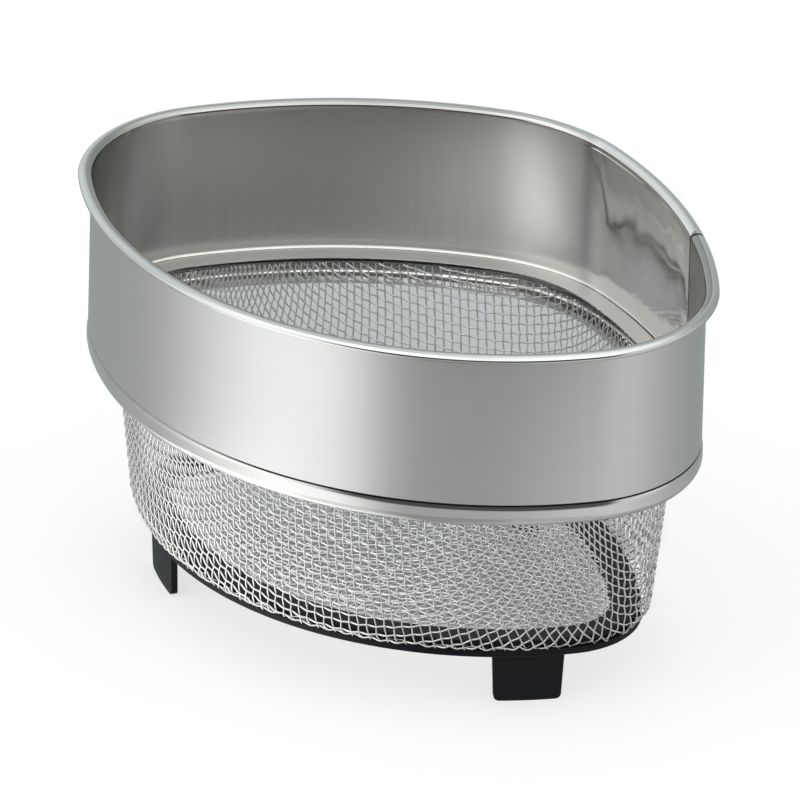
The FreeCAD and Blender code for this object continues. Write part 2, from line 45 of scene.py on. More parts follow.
class Tone:
    """One output of a shader node, so that shader maths reads as ordinary sums."""

    def __init__(self, tree, out):
        self.tree = tree
        self.out = out

    def feed(self, socket, value):
        if isinstance(value, Tone):
            self.tree.links.new(value.out, socket)
        else:
            socket.default_value = value

    def node(self, kind, settings=(), sockets=(), out=0):
        made = self.tree.nodes.new(kind)
        for name, value in dict(settings).items():
            setattr(made, name, value)
        for name, value in dict(sockets).items():
            self.feed(made.inputs[name], value)
        return Tone(self.tree, made.outputs[out])

    def maths(self, operation, *terms):
        return self.node("ShaderNodeMath", {"operation": operation}, enumerate(terms))

    def __add__(self, other):
        return self.maths("ADD", self, other)

    def __sub__(self, other):
        return self.maths("SUBTRACT", self, other)

    def __mul__(self, other):
        return self.maths("MULTIPLY", self, other)

    def __radd__(self, other):
        return self.maths("ADD", other, self)

    def __rsub__(self, other):
        return self.maths("SUBTRACT", other, self)

    def __rmul__(self, other):
        return self.maths("MULTIPLY", other, self)

    def step(self, low, high):
        """0 below low, 1 above high, smooth between them."""
        return self.node("ShaderNodeMapRange", {"interpolation_type": "SMOOTHSTEP"},
                         {"Value": self, "From Min": low, "From Max": high})

    def blend(self, first, second):
        """A colour that goes from the first to the second as this goes from 0 to 1."""
        return self.node("ShaderNodeMix", {"data_type": "RGBA"}, {0: self, 6: first, 7: second}, 2)


def parts_of(vector):
    """The three numbers of a vector."""
    split = vector.node("ShaderNodeSeparateXYZ", (), {0: vector}).out.node
    return [Tone(vector.tree, out) for out in split.outputs]


def new_material(name):
    """An empty material, its shader, a start for its nodes, and x, y and z on the piece in metres."""
    mat = bpy.data.materials.new(name)
    mat.use_nodes = True
    shader = mat.node_tree.nodes["Principled BSDF"]
    start = Tone(mat.node_tree, None)
    return mat, shader, start, parts_of(start.node("ShaderNodeTexCoord", out=3))


def facing_of(start):
    """Which way the surface faces."""
    return parts_of(start.node("ShaderNodeNewGeometry", out=1))


def grain(start, place, scales, detail):
    """Noise from 0 to 1, finer along an axis that has a larger scale."""
    scaled = [part * scale for part, scale in zip(place, scales)]
    vector = start.node("ShaderNodeCombineXYZ", (), enumerate(scaled))
    return start.node("ShaderNodeTexNoise", (), {"Vector": vector, "Scale": 1.0, "Detail": detail})


def bump(start, height, strength, distance):
    """The way a surface faces that has small hills of this height."""
    return start.node("ShaderNodeBump", (), {"Strength": strength, "Distance": distance, "Height": height})


def dress(piece, mat):
    """Gives a piece its one material."""
    piece.data.materials.clear()
    piece.data.materials.append(mat)


plastic_dark, plastic_pale = (0.0018, 0.0034, 0.0056, 1.0), (0.0030, 0.0047, 0.0072, 1.0)
plastic_grain, plastic_clouds, cloud_edges = (2600.0, 2600.0, 2600.0), (45.0, 45.0, 60.0), (0.3, 0.7)
plastic_shine, plastic_rough, cloud_rough, grain_rough = 0.20, 0.34, 0.14, 0.04
grain_strength, grain_depth = 0.16, 0.00006


def black_plastic(name):
    """Satin black plastic with a fine moulded grain and faint clouds."""
    mat, shader, start, place = new_material(name)
    fine = grain(start, place, plastic_grain, 2.0)
    wide = grain(start, place, plastic_clouds, 3.0)
    start.feed(shader.inputs["Base Color"], wide.step(*cloud_edges).blend(plastic_dark, plastic_pale))
    start.feed(shader.inputs["Roughness"], plastic_rough + wide * cloud_rough + fine * grain_rough)
    shader.inputs["Specular IOR Level"].default_value = plastic_shine
    start.feed(shader.inputs["Normal"], bump(start, fine, grain_strength, grain_depth))
    return mat


dress(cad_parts["base_ring"], black_plastic("moulded_black"))


# Woven basket
# Plain-woven stainless wire drawn to a deep cup, its edge held in the lip of the basket ring: the
# floor keeps the square weave, and round the ends the wires lean over. The cloth is laid on the
# cup as a pin-jointed net, and then each wire is a round crimped tube. Its sizes are in mm.

mm = 0.001
pitch, wire, crimp = 3.13, 0.58, 0.31
weave_turn = math.radians(12.0)
plan_centres = np.array([[0.0, 48.25], [68.0, -8.0], [-42.26, -89.31], [0.0, 23.0]])
plan_radii = np.array([141.25, 53.0, 190.0, 70.0])
plan_turns = [-90.0, -39.598, 36.407, 69.380, 90.0]
floor_z, corner_radius, mesh_top, half_cloth = 21.4, 3.5, 86.4, 0.5
weave_middle = np.array([10.0, 0.0, floor_z])
wall_foot, wall_head = np.array([20.15, 20.9]), np.array([13.15, mesh_top])
wall_way = (wall_head - wall_foot) / np.linalg.norm(wall_head - wall_foot)
wall_foot = wall_foot + half_cloth * np.array([wall_way[1], -wall_way[0]])
corner_turn = math.acos(-wall_way[0])
floor_edge = (wall_foot + wall_way * (floor_z - wall_foot[1]) / wall_way[1])[0]
floor_edge += corner_radius * math.tan(corner_turn / 2)
reach, net_top, steps_per_pitch, placing_rounds = 62, 100.0, 8, 12
settling_rounds, least_gap, push_share, smooth_share = 700, 1.8, 0.25, 0.3
corner_room, floor_room, off_floor, least_points = 4.0, 1.0, 0.01, 3
most_move, steady, tiny = 0.5 * pitch, 1e-3, 1e-9
wire_dark, wire_pale = (0.76, 0.76, 0.75, 1.0), (0.84, 0.84, 0.83, 1.0)
# The inside wire colour is painted shade on the inward faces of the wall's wires.
wire_inside_shade, wall_from, facing_in = (0.66, 0.655, 0.64, 1.0), (0.026, 0.036), (0.0, 0.04)
wire_grain, wire_clouds = (900.0, 900.0, 900.0), (60.0, 60.0, 60.0)
wire_rough, wire_grain_rough, wire_inside_rough = 0.20, 0.12, 0.22


def outline(x, y):
    """How far a point is inside the rim's outer edge, and the way out from it."""
    side = np.where(x < 0, -1.0, 1.0)
    dx = np.abs(x)[:, None] - plan_centres[:, 0]
    dy = y[:, None] - plan_centres[:, 1]
    way = np.degrees(np.arctan2(dy, dx))
    on_front = way[:, 0] < plan_turns[1]
    on_end = (way[:, 1] <= plan_turns[2]) & (dx[:, 1] > 0)
    on_flank = way[:, 2] <= plan_turns[3]
    arc = np.where(on_front, 0, np.where(on_end, 1, np.where(on_flank, 2, 3)))
    row = np.arange(len(x))
    dx, dy = dx[row, arc], dy[row, arc]
    far = np.maximum(np.hypot(dx, dy), tiny)
    return plan_radii[arc] - far, side * dx / far, dy / far


def lay(points):
    """The points moved on to the cup, and the way out of it there."""
    inset, nx, ny = outline(points[:, 0], points[:, 1])
    z = points[:, 2]
    turn = np.arctan2(floor_edge - inset, floor_z + corner_radius - z)
    turn = np.where(turn < 0, corner_turn, np.minimum(turn, corner_turn))
    turn = np.where(inset >= floor_edge, 0.0, turn)
    along = (inset - wall_foot[0]) * wall_way[0] + (z - wall_foot[1]) * wall_way[1]
    wall = turn >= corner_turn
    low = np.where(inset >= floor_edge, inset, floor_edge - corner_radius * np.sin(turn))
    new = np.where(wall, wall_foot[0] + wall_way[0] * along, low)
    high = np.where(wall, wall_foot[1] + wall_way[1] * along,
                    floor_z + corner_radius * (1 - np.cos(turn)))
    laid = np.stack([points[:, 0] - nx * (new - inset), points[:, 1] - ny * (new - inset), high], -1)
    return laid, np.stack([nx * np.sin(turn), ny * np.sin(turn), -np.cos(turn)], -1)


def straight_wire(way, count):
    """Crossings along a wire that starts from the middle and runs straight on the cup."""
    spot, run = weave_middle.copy(), np.array(way)
    found = [spot]
    for k in range(1, count * steps_per_pitch + 1):
        facing = lay(spot[None])[1][0]
        run = run - facing * (run @ facing)
        after = lay((spot + run * pitch / steps_per_pitch / np.linalg.norm(run))[None])[0][0]
        run, spot = after - spot, after
        if k % steps_per_pitch == 0:
            found.append(spot)
    return np.array(found)


def unit(v):
    """The vectors at a length of 1."""
    return v / np.maximum(np.linalg.norm(v, axis=-1), tiny)[..., None]


def dot(v, w):
    """The products of two lists of vectors, as a column."""
    return (v * w).sum(1)[:, None]


net = np.full((2 * reach + 1, 2 * reach + 1, 3), np.nan)
east = np.array([math.cos(weave_turn), math.sin(weave_turn), 0.0])
north = np.array([-math.sin(weave_turn), math.cos(weave_turn), 0.0])
for sign in (1, -1):
    ks = reach + sign * np.arange(reach + 1)
    net[ks, reach] = straight_wire(sign * east, reach)
    net[reach, ks] = straight_wire(sign * north, reach)


def next_crossings(a, b, c):
    """Crossings that lie one pitch from a and from b, across from c."""
    spot, facing = lay(a + b - c)
    for again in range(placing_rounds):
        short_a = pitch - np.linalg.norm(spot - a, axis=1)[:, None]
        short_b = pitch - np.linalg.norm(spot - b, axis=1)[:, None]
        ua, ub = unit(spot - a), unit(spot - b)
        ua = ua - facing * dot(ua, facing)
        ub = ub - facing * dot(ub, facing)
        aa, bb, ab = dot(ua, ua) + steady, dot(ub, ub) + steady, dot(ua, ub)
        spread = aa * bb - ab * ab
        move = ua * (short_a * bb - short_b * ab) / spread + ub * (short_b * aa - short_a * ab) / spread
        size = np.linalg.norm(move, axis=1)[:, None]
        move = move * np.minimum(1.0, most_move / np.maximum(size, tiny))
        spot, facing = lay(spot + move)
    return spot


# Every further crossing is one pitch from two that are already placed
for si in (1, -1):
    for sj in (1, -1):
        for s in range(2, 2 * reach + 1):
            i = np.arange(max(1, s - reach), min(reach, s - 1) + 1)
            j = s - i
            a = net[reach + si * (i - 1), reach + sj * j]
            b = net[reach + si * i, reach + sj * (j - 1)]
            c = net[reach + si * (i - 1), reach + sj * (j - 1)]
            known = ~np.isnan(a[:, 0] + b[:, 0] + c[:, 0])
            keep = known & ~(np.minimum(a[:, 2], b[:, 2]) > net_top)
            if keep.any():
                spot = next_crossings(a[keep], b[keep], c[keep])
                net[reach + si * i[keep], reach + sj * j[keep]] = spot

# The net settles: wires keep their pitch, stay apart round the ends and bend smoothly
there = ~np.isnan(net[..., 0])
net = np.where(there[..., None], net, 0.0)
flat = net.reshape(-1, 3)
inset = outline(flat[:, 0], flat[:, 1])[0].reshape(there.shape)
loose = there & ((net[..., 2] > floor_z + off_floor) | (inset < floor_edge + floor_room))
every = slice(None)
links = []
for axis in (0, 1):
    for odd in (0, 1):
        first, second = [every, every], [every, every]
        first[axis] = slice(odd, 2 * reach - 1 + odd, 2)
        second[axis] = slice(odd + 1, 2 * reach + odd, 2)
        first, second = tuple(first), tuple(second)
        both = there[first] & there[second]
        share = np.maximum(loose[first].astype(float) + loose[second], 1.0)
        links.append((first, second, (both * loose[first] / share)[..., None],
                      (both * loose[second] / share)[..., None]))
cell = np.arange(2 * reach) + 0.5 - reach
gi, gj = np.meshgrid(cell, cell, indexing="ij")
leans = (np.where(gi * gj < 0, np.sign(gi), 0.0), np.where(gi * gj > 0, -np.sign(gi), 0.0))
pairs = []
for down, lean in enumerate(leans):
    k = np.argwhere(lean != 0)
    first = np.ravel_multi_index((k[:, 0], k[:, 1] + down), there.shape)
    second = np.ravel_multi_index((k[:, 0] + 1, k[:, 1] + 1 - down), there.shape)
    use = loose.ravel()[first] & loose.ravel()[second]
    pairs.append((first[use], second[use], lean[k[:, 0], k[:, 1]][use]))
middle, before, after = slice(1, -1), slice(0, -2), slice(2, None)
threes = (((middle, every), (before, every), (after, every)),
          ((every, middle), (every, before), (every, after)))
for again in range(settling_rounds):
    for first, second, part, other in links:
        span = net[second] - net[first]
        span = span - pitch * unit(span)
        net[first] += span * part
        net[second] -= span * other
    for first, second, lean in pairs:
        p, q = flat[first], flat[second]
        nx, ny = outline((p[:, 0] + q[:, 0]) / 2, (p[:, 1] + q[:, 1]) / 2)[1:]
        gap = ((q[:, 1] - p[:, 1]) * nx - (q[:, 0] - p[:, 0]) * ny) * lean
        on_wall = np.minimum(p[:, 2], q[:, 2]) > floor_z + corner_room
        push = np.where(on_wall, np.maximum(least_gap - gap, 0.0), 0.0) * push_share * lean
        push = np.stack([-ny * push, nx * push, 0.0 * push], -1)
        np.add.at(flat, second, push)
        np.add.at(flat, first, -push)
    for mid, back, on in threes:
        good = (there[mid] & there[back] & there[on] & loose[mid])[..., None]
        net[mid] += ((net[back] + net[on]) / 2 - net[mid]) * good * smooth_share
    net[loose] = lay(net[loose])[0]


def smooth_line(p):
    """A curve through the points, with three more between each two."""
    p = np.vstack([2 * p[0] - p[1], p, 2 * p[-1] - p[-2]])
    p0, p1, p2, p3 = (p[n:len(p) - 3 + n, None] for n in range(4))
    t = np.arange(4)[None, :, None] / 4
    line = 0.5 * (2 * p1 + (p2 - p0) * t + (2 * p0 - 5 * p1 + 4 * p2 - p3) * t ** 2
                  + (3 * p1 - p0 - 3 * p2 + p3) * t ** 3)
    return np.vstack([line.reshape(-1, 3), p[-2]])


def wire_runs(points, used):
    """Smooth runs of points along one wire, cut off at the basket's top."""
    k = np.flatnonzero(used)
    line = smooth_line(points[k[0]:k[-1] + 1])
    below = line[:, 2] < mesh_top
    runs, open_run = [], []
    for n in range(len(line)):
        if n and below[n] != below[n - 1]:
            cut = (mesh_top - line[n - 1, 2]) / (line[n, 2] - line[n - 1, 2])
            open_run.append(line[n - 1] + (line[n] - line[n - 1]) * cut)
            if not below[n]:
                runs.append(open_run)
                open_run = []
        if below[n]:
            open_run.append(line[n])
    runs.append(open_run)
    return [np.array(run) * mm for run in runs if len(run) > least_points]


def wires_piece(name, runs):
    """Round wires along the runs, as one mesh."""
    bpy.ops.object.select_all(action="DESELECT")
    curve = bpy.data.curves.new(name, "CURVE")
    curve.dimensions = "3D"
    curve.bevel_depth = wire / 2 * mm
    curve.bevel_resolution = 1
    curve.use_fill_caps = True
    for run in runs:
        spline = curve.splines.new("POLY")
        spline.points.add(len(run) - 1)
        spline.points.foreach_set("co", np.hstack([run, np.ones((len(run), 1))]).ravel())
    piece = bpy.data.objects.new(name, curve)
    bpy.context.scene.collection.objects.link(piece)
    piece.select_set(True)
    bpy.context.view_layer.objects.active = piece
    bpy.ops.object.convert(target="MESH")
    bpy.ops.object.shade_smooth()
    return bpy.context.view_layer.objects.active


def wire_steel(name):
    """Bright drawn wire, rougher on the inside of the basket's wall and darker there as painted shade."""
    mat, shader, start, place = new_material(name)
    x, y, z = place
    nx, ny = facing_of(start)[:2]
    fine = grain(start, place, wire_grain, 2.0)
    wide = grain(start, place, wire_clouds, 2.0)
    # Inward faces of the wall's wires: rougher, and painted shade in their colour.
    dull_and_shaded = (0.0 - nx * x - ny * y).step(*facing_in) * z.step(*wall_from)
    steel = wide.step(*cloud_edges).blend(wire_dark, wire_pale)
    start.feed(shader.inputs["Base Color"], dull_and_shaded.blend(steel, wire_inside_shade))
    start.feed(shader.inputs["Roughness"], wire_rough + fine * wire_grain_rough + dull_and_shaded * wire_inside_rough)
    shader.inputs["Metallic"].default_value = 1.0
    return mat


# Each wire goes over one and under the next of those that cross it
facing = np.zeros_like(net)
facing[there] = lay(net[there])[1]
parity = np.where(np.indices(there.shape).sum(0) % 2 == 0, 1.0, -1.0)[..., None]
over, under = net + facing * crimp * parity, net - facing * crimp * parity
wire_finish = wire_steel("woven_steel")
numbers = range(2 * reach + 1)
across = [(j, run) for j in numbers if there[:, j].sum() > least_points
          for run in wire_runs(over[:, j], there[:, j])]
along = [(i, run) for i in numbers if there[i].sum() > least_points
         for run in wire_runs(under[i], there[i])]
for name, runs in (("cross_wires_front", [run for k, run in across if k < reach]),
                   ("cross_wires_back", [run for k, run in across if k >= reach]),
                   ("long_wires_left", [run for k, run in along if k < reach]),
                   ("long_wires_right", [run for k, run in along if k >= reach])):
    piece = wires_piece(name, runs)
    dress(piece, wire_finish)
    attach(piece, "root")
    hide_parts("mesh_basket")


# Clamp ring
# A flat black plastic ring laid inside the basket on its floor. It keeps its CAD shape, and pins
# through the mesh hold it down on the base ring, so that the floor is gripped between the two.

dress(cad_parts["clamp_ring"], black_plastic("clamp_black"))


# Clamp pins
# Short bright steel pins that join the two plastic rings, pressed through clamp ring, mesh and
# base ring. They keep their CAD shape.

pin_tone, pin_rough = (0.55, 0.55, 0.54), 0.2
polish_clouds, polish_lines, polish_pale = (30.0, 30.0, 90.0), (25.0, 25.0, 5200.0), 1.1
polish_line_rough, polish_cloud_rough = 0.05, 0.04


def polished(start, place, colour, rough):
    """Colour and roughness of polished steel, with faint clouds and fine lines round it."""
    wide = grain(start, place, polish_clouds, 3.0)
    fine = grain(start, place, polish_lines, 2.0)
    pale = tuple(part * polish_pale for part in colour)
    steel = wide.step(*cloud_edges).blend((*colour, 1.0), (*pale, 1.0))
    return steel, rough + fine * polish_line_rough + wide * polish_cloud_rough


mat, shader, start, place = new_material("pin_steel_bright")
steel, rough = polished(start, place, pin_tone, pin_rough)
start.feed(shader.inputs["Base Color"], steel)
start.feed(shader.inputs["Roughness"], rough)
shader.inputs["Metallic"].default_value = 1.0
dress(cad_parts["clamp_pins"], mat)


# Basket ring
# Rolled stainless ring that carries the basket: a round bead outside, a flat ledge inside and a
# lip that holds the mesh. It keeps its CAD shape. The band stands on it, over a groove painted
# black as a shadow line that fades towards the left end. The ledge is painted lighter as painted
# light, and a painted highlight line runs along its rounded inner edge.

ring_tone, ring_rough = (0.625, 0.638, 0.625), 0.09
# The ledge colour is lighter than the ring's: painted light on the ledge's upward face.
ledge_light_tone, ledge_dull = (0.74, 0.735, 0.72, 1.0), 0.30
# A painted highlight colour for the lip and a painted shadow colour for the groove.
lip_highlight_tone, groove_shadow_tone = (0.96, 0.955, 0.94, 1.0), (0.02, 0.02, 0.02, 1.0)
ledge_from, groove_foot, groove_head = (0.0866, 0.0872), (0.0850, 0.0853), (0.0861, 0.0863)
ledge_facing, lip_facing, lip_ends = (0.6, 0.9), (0.15, 0.45), (0.93, 0.99)
left_to_right, groove_shadow_fades, groove_least = (0.8218, 0.5697), (-0.085, -0.045), 0.4

mat, shader, start, place = new_material("ring_polished")
x, y, z = place
facing_up = facing_of(start)[2]
steel, rough = polished(start, place, ring_tone, ring_rough)
above = z.step(*ledge_from)
# The ledge's upward face: rougher, and painted lighter as painted light.
ledge = facing_up.step(*ledge_facing) * above
# A bright painted highlight line on the ledge's rounded inner edge.
lip_highlight = facing_up.step(*lip_facing) * (1.0 - facing_up.step(*lip_ends)) * above
# A black painted shadow line in the groove under the band, fainter towards the left end.
groove_shadow = z.step(*groove_foot) * (1.0 - z.step(*groove_head))
side = x * left_to_right[0] + y * left_to_right[1]
groove_shadow = groove_shadow * (groove_least + side.step(*groove_shadow_fades) * (1.0 - groove_least))
steel = lip_highlight.blend(ledge.blend(steel, ledge_light_tone), lip_highlight_tone)
start.feed(shader.inputs["Base Color"], groove_shadow.blend(steel, groove_shadow_tone))
start.feed(shader.inputs["Roughness"], rough + ledge * ledge_dull)
shader.inputs["Metallic"].default_value = 1.0
dress(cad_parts["basket_rim"], mat)


# Side band
# Upright stainless sheet bent round the ring, its ends meeting in an open seam at the back right
# and its top edge rolled outwards to a flattened curl. The outside is satin with a fine hairline
# round it; the inside is smoother, and wavy like a mirror next to the seam. Its sizes are in mm.
# The inside's colour holds painted light and shade: it is darker than the outside as painted
# shade, darker still at its foot, with a painted highlight line just above the foot, a painted
# highlight band on the back wall, a lighter painted reflection on the mirror-like part, a darker
# painted-shade strip past the seam and a black painted shadow line along the seam.

band_low, wall_outside, wall_inside = 85.9, 4.35, 4.85
curl_high, curl_half_wide, curl_half_tall, curl_points = 143.5, 2.425, 1.6, 40
seam_turn, seam_gap, path_step = 48.28, 0.1, 1.5
satin_dark, satin_pale = (0.595, 0.611, 0.601, 1.0), (0.630, 0.647, 0.636, 1.0)
# The inside colours are darker than the outside's as painted shade.
inner_shade_dark, inner_shade_pale = (0.415, 0.415, 0.395, 1.0), (0.445, 0.445, 0.425, 1.0)
# Painted shade at the inside wall's foot and a painted highlight line just above it.
foot_shade_tone, foot_highlight_tone = (0.35, 0.35, 0.34, 1.0), (0.95, 0.94, 0.92, 1.0)
# Painted reflection on the mirror-like part and a painted highlight band on the back wall.
mirror_light_tone, back_highlight_tone = (0.76, 0.755, 0.74, 1.0), (0.57, 0.565, 0.55, 1.0)
# Painted shade past the seam and a black painted shadow line along the seam.
past_seam_shade_tone, seam_shadow_tone = (0.30, 0.30, 0.29, 1.0), (0.015, 0.015, 0.015, 1.0)
hair_scales, streak_scales, line_edges = (18.0, 18.0, 5200.0), (1500.0, 1500.0, 14.0), (0.2, 0.8)
band_clouds, wave_scales = (26.0, 26.0, 40.0), (55.0, 55.0, 75.0)
band_rough_out, band_rough_in, hair_rough, streak_rough, band_cloud_rough = 0.25, 0.21, 0.05, 0.04, 0.04
curl_rough, mirror_polish, wave_depth, sharp_edge = 0.09, 0.15, 0.0004, math.radians(38.0)
# Where each zone of the finish and of the painted light and shade begins and where it is full, in metres
facing_out, curl_from, back_from = (-0.005, 0.005), (0.1404, 0.1410), (0.0, 0.01)
mirror_from, past_seam_from = (0.009, 0.018), (0.0800, 0.0812)
back_highlight_from, back_highlight_to, back_highlight_back = (-0.032, -0.008), (0.009, 0.016), (0.06, 0.07)
foot_to, foot_highlight_from, foot_highlight_to = (0.0888, 0.0925), (0.0877, 0.0879), (0.0886, 0.0890)
joint_to, joint_back, joint_right = (0.0004, 0.0008), (0.03, 0.035), (0.05, 0.06)

right_arcs = list(zip(plan_centres, plan_radii, plan_turns, plan_turns[1:]))
left_arcs = [(centre * (-1, 1), radius, 180.0 - last, 180.0 - first)
             for centre, radius, first, last in reversed(right_arcs)]
front_arc, end_arc, flank_arc, back_arc = right_arcs
flank_centre, flank_radius, flank_first, flank_last = flank_arc
bends = [(flank_centre, flank_radius, seam_turn, flank_last), back_arc, *left_arcs, front_arc, end_arc,
         (flank_centre, flank_radius, flank_first, seam_turn - seam_gap)]
path = []
for centre, radius, first, last in bends:
    count = round(radius * math.radians(last - first) / path_step)
    angles = np.radians(np.linspace(first, last, count + 1))
    if path:
        angles = angles[1:]
    path += [(centre, radius, np.array([math.cos(angle), math.sin(angle)])) for angle in angles]
curl_end = -math.degrees(math.acos(1.0 - wall_outside / curl_half_wide))
section = [(wall_inside, band_low)]
for angle in np.radians(np.linspace(180.0, curl_end, curl_points)):
    section.append((curl_half_wide * (1.0 - math.cos(angle)),
                    curl_high - curl_half_tall + curl_half_tall * math.sin(angle)))
section.append((wall_outside, band_low))
points = [(*((centre + way * (radius - inset)) * mm), height * mm)
          for centre, radius, way in path for inset, height in section]
row = len(section)
faces = [(k * row + n, k * row + (n + 1) % row, (k + 1) * row + (n + 1) % row, (k + 1) * row + n)
         for k in range(len(path) - 1) for n in range(row)]
faces += [tuple(range(row)), tuple(range(len(points) - row, len(points)))]
bpy.ops.object.select_all(action="DESELECT")
mesh = bpy.data.meshes.new("rolled_band")
mesh.from_pydata(points, [], faces)
band = bpy.data.objects.new("rolled_band", mesh)
bpy.context.scene.collection.objects.link(band)
band.select_set(True)
bpy.context.view_layer.objects.active = band
bpy.ops.object.mode_set(mode="EDIT")
bpy.ops.mesh.select_all(action="SELECT")
bpy.ops.mesh.normals_make_consistent(inside=False)
bpy.ops.object.mode_set(mode="OBJECT")
bpy.ops.object.shade_smooth_by_angle(angle=sharp_edge)

mat, shader, start, place = new_material("band_satin")
x, y, z = place
nx, ny = facing_of(start)[:2]
hair = grain(start, place, hair_scales, 3.0)
streak = grain(start, place, streak_scales, 3.0)
wide = grain(start, place, band_clouds, 2.0)
wave = grain(start, place, wave_scales, 1.0)
outside = (nx * x + ny * y).step(*facing_out)
curl = z.step(*curl_from)
at_back = y.step(*back_from)
# Painted shade: a darker strip past the seam.
past_seam_shade = x.step(*past_seam_from) * at_back
# Mirror-like part: smoother and wavy, and painted lighter as painted reflection.
mirror_and_painted_light = x.step(*mirror_from) * at_back * (1.0 - past_seam_shade)
# Painted highlight: a lighter band on the back wall.
back_highlight = x.step(*back_highlight_from) * (1.0 - x.step(*back_highlight_to)) * y.step(*back_highlight_back)
# Painted shade: the inside wall darker at its foot.
foot_shade = 1.0 - z.step(*foot_to)
# Painted highlight: a bright line just above the foot.
foot_highlight = z.step(*foot_highlight_from) * (1.0 - z.step(*foot_highlight_to))
# The inside is darker than the outside as painted shade; its streaks are grain.
inner_shaded = streak.step(*line_edges).blend(inner_shade_dark, inner_shade_pale)
for zone, colour in ((foot_shade, foot_shade_tone), (mirror_and_painted_light, mirror_light_tone), (back_highlight, back_highlight_tone),
                     (past_seam_shade, past_seam_shade_tone), (foot_highlight, foot_highlight_tone)):
    inner_shaded = zone.blend(inner_shaded, colour)
steel = outside.blend(inner_shaded, hair.step(*line_edges).blend(satin_dark, satin_pale))
seam_way = math.radians(seam_turn - seam_gap / 2)
seam_x, seam_y = flank_centre * mm
from_seam = (y - seam_y) * math.cos(seam_way) - (x - seam_x) * math.sin(seam_way)
# Painted shadow: a black line along the seam joint.
seam_shadow = 1.0 - start.maths("ABSOLUTE", from_seam).step(*joint_to)
seam_shadow = seam_shadow * y.step(*joint_back) * x.step(*joint_right)
start.feed(shader.inputs["Base Color"], seam_shadow.blend(steel, seam_shadow_tone))
rough_out = band_rough_out + hair * hair_rough + wide * band_cloud_rough
rough_in = band_rough_in + streak * streak_rough + wide * band_cloud_rough - mirror_and_painted_light * mirror_polish
rough = rough_in + (rough_out - rough_in) * outside
start.feed(shader.inputs["Roughness"], rough + (curl_rough - rough) * curl)
wave = wave * mirror_and_painted_light * (1.0 - outside) * (1.0 - curl)
start.feed(shader.inputs["Normal"], bump(start, wave, 1.0, wave_depth))
shader.inputs["Metallic"].default_value = 1.0
dress(band, mat)
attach(band, "root")
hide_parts("side_band")


# Floor
# A plain white floor that glows a little, with a painted shadow: a soft grey area under the
# strainer and behind it that shows through the mesh.

floor_size, floor_rough, floor_clouds = 12.0, 0.9, (3.0, 3.0, 1.0)
floor_dark, floor_pale = (0.31, 0.31, 0.31, 1.0), (0.33, 0.33, 0.33, 1.0)
# The grey colour and its dimmer glows are a painted shadow.
floor_glow, shadow_tone = (0.63, 0.63, 0.63, 1.0), (0.25, 0.255, 0.26, 1.0)
shadow_glow, shadow_glow_under = (0.19, 0.21, 0.22, 1.0), (0.035, 0.045, 0.05, 1.0)
grey_middle, grey_reach, front_to = (-0.0235, 0.082), (0.098, 0.117), (0.06, 0.08)
grey_left, grey_right, grey_back = (-0.094, -0.074), (0.072, 0.092), (0.25, 0.34)
grey_widens, grey_narrows, grey_change = (0.10, 0.16), (0.015, 0.045), 0.012
under_to = (0.03, 0.09)

scene = bpy.context.scene
scene.view_settings.view_transform = "Standard"
bpy.ops.object.select_all(action="DESELECT")
bpy.ops.mesh.primitive_plane_add(size=floor_size)
floor = bpy.context.view_layer.objects.active
floor.name = "floor"
floor.visible_glossy = False


def distance(x, y, middle):
    """How far a place is from a middle."""
    return x.maths("SQRT", (x - middle[0]) * (x - middle[0]) + (y - middle[1]) * (y - middle[1]))


mat, shader, start, place = new_material("floor_white")
x, y = place[:2]
wide = grain(start, place, floor_clouds, 2.0)
side = x * left_to_right[0] + y * left_to_right[1]
away = y * left_to_right[0] - x * left_to_right[1]
front = distance(x, y, grey_middle).step(*grey_reach) * (1.0 - away.step(*front_to))
wider = away.step(*grey_widens) * grey_change
narrower = (1.0 - away.step(*grey_narrows)) * grey_change
from_left = (side + wider).step(*grey_left)
past_right = (side - wider + narrower).step(*grey_right)
# Painted shadow under and behind the strainer; its glow is least where it lies under the strainer.
painted_shadow = (1.0 - front) * from_left * (1.0 - past_right) * (1.0 - away.step(*grey_back))
glow = away.step(*under_to).blend(shadow_glow_under, shadow_glow)
start.feed(shader.inputs["Base Color"], painted_shadow.blend(wide.blend(floor_dark, floor_pale), shadow_tone))
start.feed(shader.inputs["Emission Color"], painted_shadow.blend(floor_glow, glow))
shader.inputs["Emission Strength"].default_value = 1.0
shader.inputs["Roughness"].default_value = floor_rough
dress(floor, mat)


# Table card
# A glowing card just under the floor that only reflections see: what polished steel shows of a
# lit surface round it, brightest to the front left. Directions are in degrees, distances in metres.

card_size, card_height, card_middle, card_level = 3.0, -0.0005, (0.04, -0.05), 0.53
warm_white, cool_card = (1.0, 1.0, 0.985, 1.0), (0.76, 0.83, 0.84, 1.0)
front_left_from, front_left_to, front_left_level = (-82.0, -26.0), (-14.0, 16.0), 0.90
right_lobe, right_level = (88.0, 50.0), 0.30
close_lobe, close_to, close_level = (-60.0, 44.0), (0.175, 0.215), 1.4
beyond_lobe, beyond_edges, beyond_from, beyond_dim = (40.0, 60.0), (0.1, 0.5), (0.33, 0.46), 0.8
near_to, near_level = (0.13, 0.175), 0.72
card_cool_left, cool_back = (-125.0, 70.0), (170.0, 50.0)


def lobe(turn, middle, width):
    """1 at a compass direction, falling off smoothly on both sides."""
    off = turn.maths("ABSOLUTE", turn.maths("WRAP", turn - middle, 180.0, -180.0))
    return 1.0 - off.step(0.0, width)


def compass(x, y):
    """Degrees round from the front, towards the right."""
    return x.maths("ARCTAN2", x, 0.0 - y) * (180.0 / math.pi)


